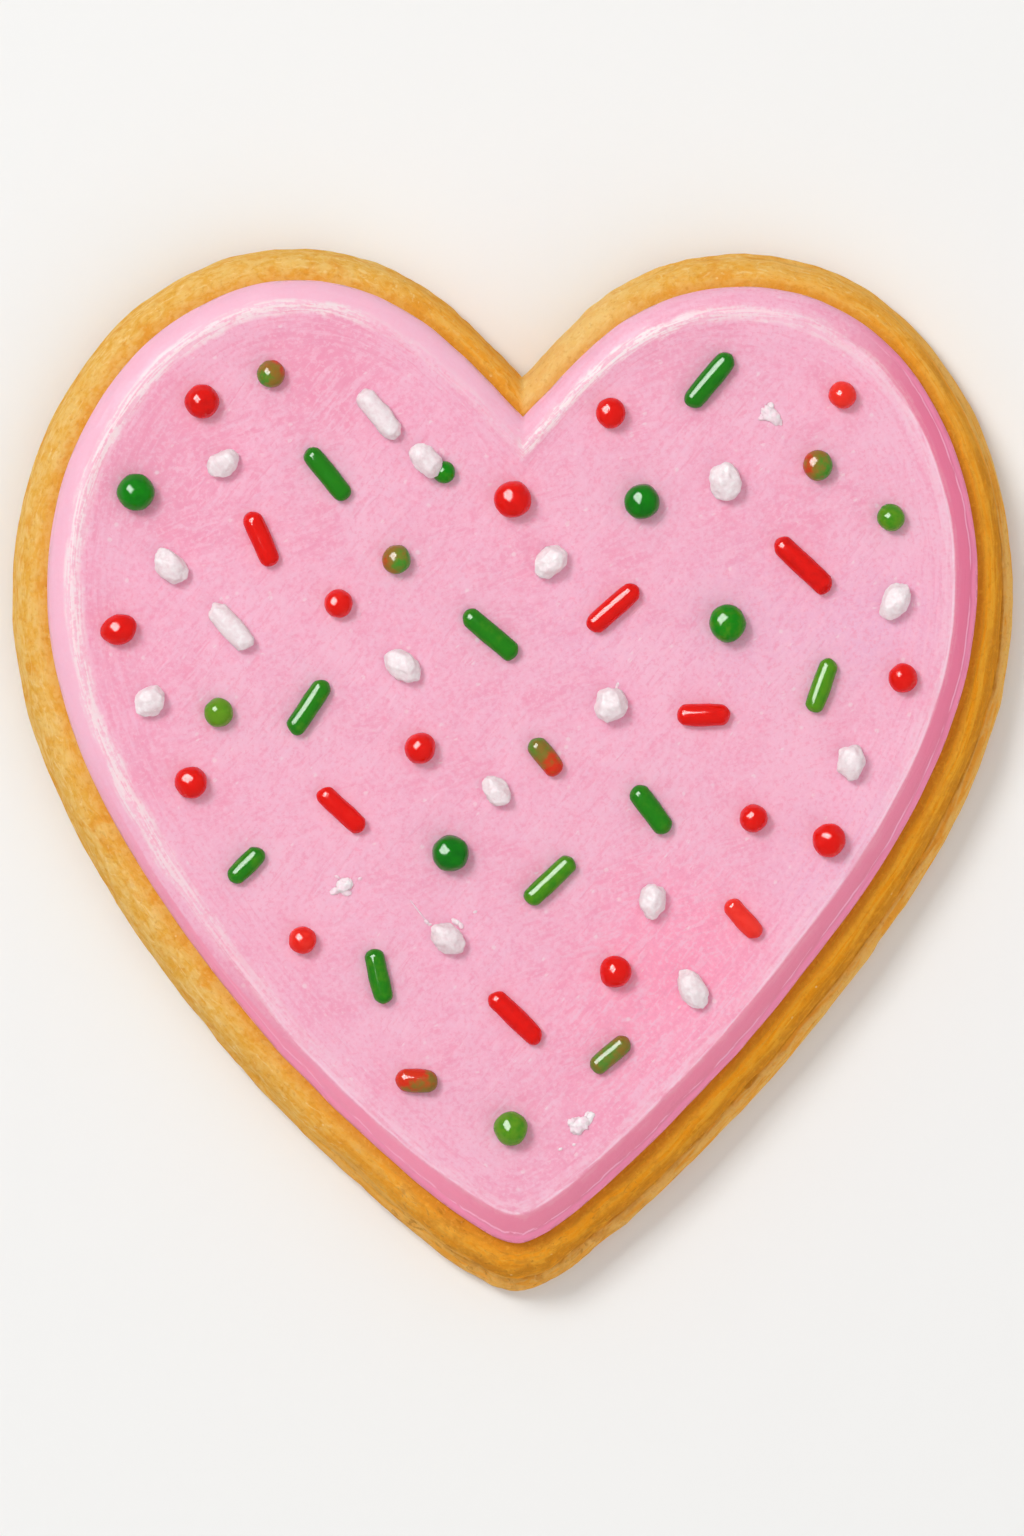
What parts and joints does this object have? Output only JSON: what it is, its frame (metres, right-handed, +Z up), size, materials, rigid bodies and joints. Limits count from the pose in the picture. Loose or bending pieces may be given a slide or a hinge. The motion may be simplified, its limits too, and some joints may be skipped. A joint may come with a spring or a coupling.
{
  "type": "heart cookie",
  "caption": "Heart-shaped sugar cookie with a raised pink icing heart, scattered with sugar pearls, rods and small white nuggets.",
  "frame": {"origin": "middle of the underside: the centre of the bounding box's bottom face", "axes": "+Z up through the cookie's thickness, +Y from the point of the heart to its lobes, +X to the right when the icing is seen from above with the point towards the viewer"},
  "size_m": [0.0902, 0.094, 0.0124],
  "materials": {
    "biscuit": "matte baked biscuit",
    "icing": "satin sugar icing"
  },
  "bodies": {
    "root": {"biscuit": "biscuit", "icing": "icing"}
  },
  "joints": []
}
